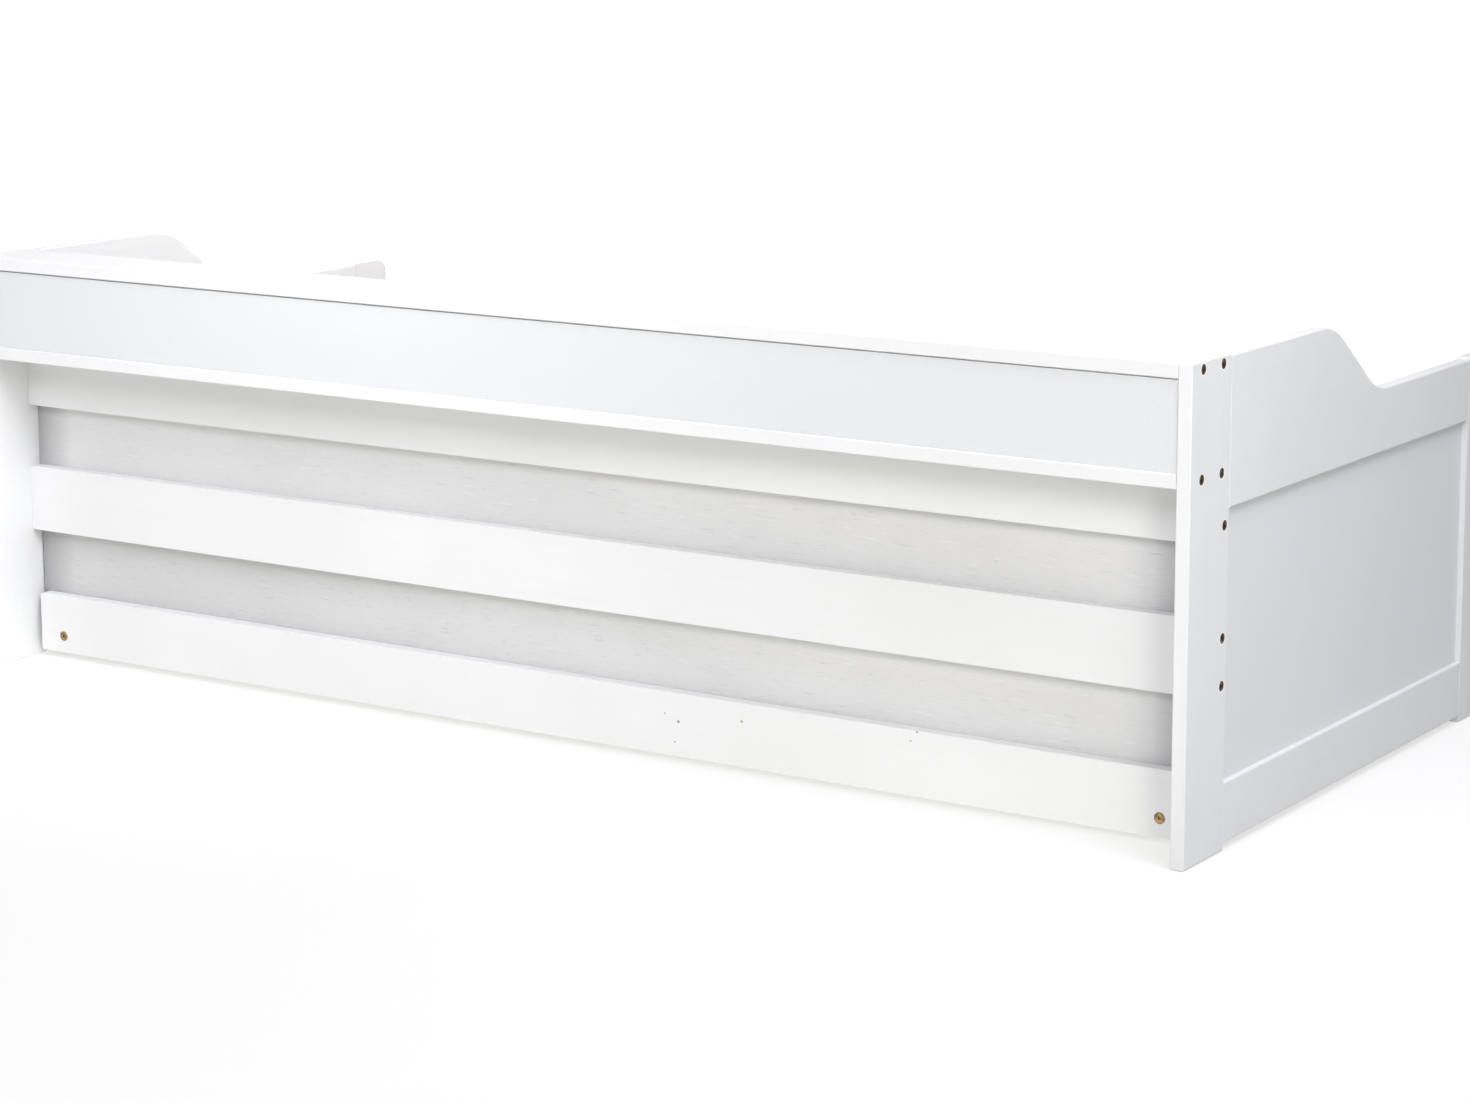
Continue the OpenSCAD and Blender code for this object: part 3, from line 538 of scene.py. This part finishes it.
def dress_frame():
    """Finishes and edges of every CAD node."""
    dress(X_BOARDS, white_lacquer(0), 0.0016)
    dress(("drawer_back_rail",), white_lacquer(0, "chipped_lacquer", PAINT_CHIPS), 0.0016)
    dress(Y_BOARDS, white_lacquer(1), 0.0018)
    for name in ("left_top_rail", "right_top_rail"):
        NODES[name].modifiers["bevel"].width = TOP_RAIL_RADIUS
    dress(Z_BOARDS, white_lacquer(2), 0.0021)
    dress(("shelf_cleats",), NODES["left_back_stile"].data.materials[0])
    dress(PANELS, white_panel("white_panel"))
    dress(("shelf_back_panel",), white_panel("shelf_panel", 0.945))
    # the upper panel gets painted light and the lower one painted shade towards the +X end
    dress(("back_panel",), grey_panel("grey_panel", 0.16))
    dress(("drawer_back_panel",), grey_panel("grey_panel_low", -0.20))
    dress(SLATS, bare_pine(1), 0.0020)
    dress(("front_ledge", "rear_ledge"), bare_pine(0), 0.0015)
    dress(("frame_dowels", "drawer_dowels"), beech())
    # the first colour is the bright metal of the painted glints, the second the blackened head
    dress(("connector_bolts",), bolt_metal("bronze_bolt", (0.62, 0.33, 0.13), (0.030, 0.019, 0.012)))
    dress(("drawer_bolts",),
          plated_metal("brass_bolt", (0.52, 0.37, 0.18), (0.18, 0.12, 0.05), 0.3, (0.78, 0.66, 0.42)))
    dress(("panel_pins",), moulded_plastic("painted_pin", (0.72, 0.725, 0.73), (0.78, 0.78, 0.78), 0.35))
    dress(ZINC, plated_metal("zinc_steel", (0.62, 0.63, 0.65), (0.42, 0.43, 0.46), 0.3, (0.8, 0.8, 0.8)))
    dress(("castor_brackets",),
          moulded_plastic("castor_bracket", (0.075, 0.075, 0.08), (0.12, 0.12, 0.125), 0.45),
          0.0006, board=False)
    dress(WHEELS, moulded_plastic("castor_tyre", (0.02, 0.02, 0.022), (0.05, 0.05, 0.052), 0.5),
          0.0008, board=False)


# ---------------------------------------------------------------- webbing

BAND_WIDTH = 0.020
BAND_THICK = 0.0013
RIBS = 6
RIB_DEPTH = 0.00012
SELVEDGE = 0.0009       # width over which the band thins out at its edge
THIN_EDGE = 0.00015
SAG = 0.0011
STAPLE_OFFSET = 0.012   # from a slat's middle


def band(name, centre_y, x0, x1, top, stops):
    """A woven band laid over the slats: ribbed faces, rolled selvedges and a slight sag in each gap."""
    step = 0.005
    count = round((x1 - x0) / step)
    half_t = BAND_THICK / 2
    bm = bmesh.new()
    loops = []
    for i in range(count + 1):
        x = x0 + (x1 - x0) * i / count
        sag = 0.0
        for (_, left), (right, _) in zip(stops, stops[1:]):
            if left < x < right:
                sag = SAG * math.sin(math.pi * (x - left) / (right - left)) ** 2
        row = []
        for side in (1, -1):
            for k in range(2 * RIBS + 1):
                t = k / (2 * RIBS)
                y = side * BAND_WIDTH * (t - 0.5)
                rib = RIB_DEPTH * math.cos(2 * math.pi * RIBS * t)
                edge = min(t, 1 - t) * BAND_WIDTH
                thin = half_t * min(1.0, math.sqrt(edge / SELVEDGE))
                z = top + half_t - sag + side * (max(thin, THIN_EDGE) - RIB_DEPTH + rib * (thin / half_t))
                row.append(bm.verts.new((x, centre_y + y, z)))
        loops.append(row)
    n = len(loops[0])
    for a, b in zip(loops, loops[1:]):
        for k in range(n):
            bm.faces.new((a[k], a[(k + 1) % n], b[(k + 1) % n], b[k]))
    bm.faces.new(loops[0])
    bm.faces.new(loops[-1][::-1])
    bmesh.ops.recalc_face_normals(bm, faces=bm.faces)
    piece = object_from(bm, name)
    for polygon in piece.data.polygons:
        polygon.use_smooth = len(polygon.vertices) == 4
    return piece


def staple(bm, x, y, z):
    """A flat-wire staple across the band: a crown with bent shoulders and two short legs."""
    half, drop, wide, thick = 0.0058, 0.0016, 0.0006, 0.00045
    bend = 0.0004
    path = [(-half, -drop), (-half, -thick), (-half + bend, 0.0),
            (half - bend, 0.0), (half, -thick), (half, -drop)]
    rings = []
    for i, (py, pz) in enumerate(path):
        a, b = path[max(i - 1, 0)], path[min(i + 1, len(path) - 1)]
        dy, dz = b[0] - a[0], b[1] - a[1]
        length = math.hypot(dy, dz)
        ny, nz = -dz / length * thick / 2, dy / length * thick / 2
        rings.append([bm.verts.new((x + sx * wide / 2, y + py + sn * ny, z + pz + sn * nz))
                      for sx, sn in ((-1, -1), (1, -1), (1, 1), (-1, 1))])
    for a, b in zip(rings, rings[1:]):
        for k in range(4):
            bm.faces.new((a[k], a[(k + 1) % 4], b[(k + 1) % 4], b[k]))
    bm.faces.new(rings[0])
    bm.faces.new(rings[-1][::-1])


def make_webbing():
    """Two bands that stand for the CAD straps, and two staples on every slat of each."""
    lo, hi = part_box("webbing_straps")
    stops = [(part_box(name)[0].x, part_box(name)[1].x) for name in SLATS]
    stops.sort()
    material = woven_band()
    centres = (lo.y + BAND_WIDTH / 2, hi.y - BAND_WIDTH / 2)
    for name, y in zip(("webbing_front", "webbing_rear"), centres):
        piece = band(name, y, lo.x, hi.x, lo.z, stops)
        piece.data.materials.append(material)
        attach(piece, "bed")
        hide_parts("webbing_straps")
    bm = bmesh.new()
    for left, right in stops:
        slat_middle = (left + right) / 2
        for y in centres:
            for x in (slat_middle - STAPLE_OFFSET, slat_middle + STAPLE_OFFSET):
                staple(bm, x, y, lo.z + BAND_THICK + 0.0001)
    bmesh.ops.recalc_face_normals(bm, faces=bm.faces)
    staples = object_from(bm, "webbing_staples")
    staples.data.materials.append(plated_metal("staple_wire", (0.62, 0.63, 0.65), (0.45, 0.46, 0.48),
                                               0.3, (0.8, 0.8, 0.8)))
    bevel = staples.modifiers.new("bevel", "BEVEL")
    bevel.width, bevel.segments = 0.0001, 1
    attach(staples, "bed")


# ---------------------------------------------------------------- lacquer lips round the bolt heads

HEAD_WIDTH = 0.018   # vertices closer than this are on one bolt head


def middle(values):
    return (min(values) + max(values)) / 2


def bolt_centres(half_l):
    """(y, z) of every bolt head in an end panel's outer face, found from the CAD bolts themselves."""
    node = NODES["connector_bolts"]
    heads = []
    for vertex in node.data.vertices:
        place = node.matrix_world @ vertex.co
        if half_l - 0.001 < place.x:
            heads.append((place.y, place.z))
    groups = []
    for y, z in heads:
        for group in groups:
            if math.hypot(group[0][0] - y, group[0][1] - z) < HEAD_WIDTH:
                group.append((y, z))
                break
        else:
            groups.append([(y, z)])
    return [(middle([y for y, _ in group]), middle([z for _, z in group])) for group in groups]


def make_bolt_lips():
    """The rolled edge that the lacquer leaves round each counterbore, made lighter than the lacquer as a
    painted highlight ring.
    """
    half_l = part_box("right_back_stile")[1].x
    # (radius, distance out of the face) round the lip's closed section
    profile = ((0.0069, -0.00035), (0.0070, -0.0001), (0.0073, 0.0001), (0.0077, 0.0002), (0.0084, 0.0001),
               (0.0087, -0.0001))
    turns = 40
    bm = bmesh.new()
    for side in (-1, 1):
        for y, z in bolt_centres(half_l):
            rings = []
            for radius, out in profile:
                angles = [math.tau * k / turns for k in range(turns)]
                rings.append([bm.verts.new((side * (half_l + out), y + radius * math.cos(angle),
                                            z + radius * math.sin(angle))) for angle in angles])
            for a, b in zip(rings, rings[1:] + rings[:1]):
                for k in range(turns):
                    bm.faces.new((a[k], a[(k + 1) % turns], b[(k + 1) % turns], b[k]))
    bmesh.ops.recalc_face_normals(bm, faces=bm.faces)
    lips = object_from(bm, "bolt_hole_lips")
    lips.data.shade_smooth()
    # lighter than the white lacquer round it: a painted highlight ring
    lips.data.materials.append(moulded_plastic("lip_lacquer_painted_highlight", (0.90, 0.90, 0.895), (0.94, 0.94, 0.935), 0.3))
    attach(lips, "bed")


# ---------------------------------------------------------------- assembly

make_camera()
make_studio()
dress_frame()
make_webbing()
make_bolt_lips()
scene.view_settings.view_transform = "Standard"
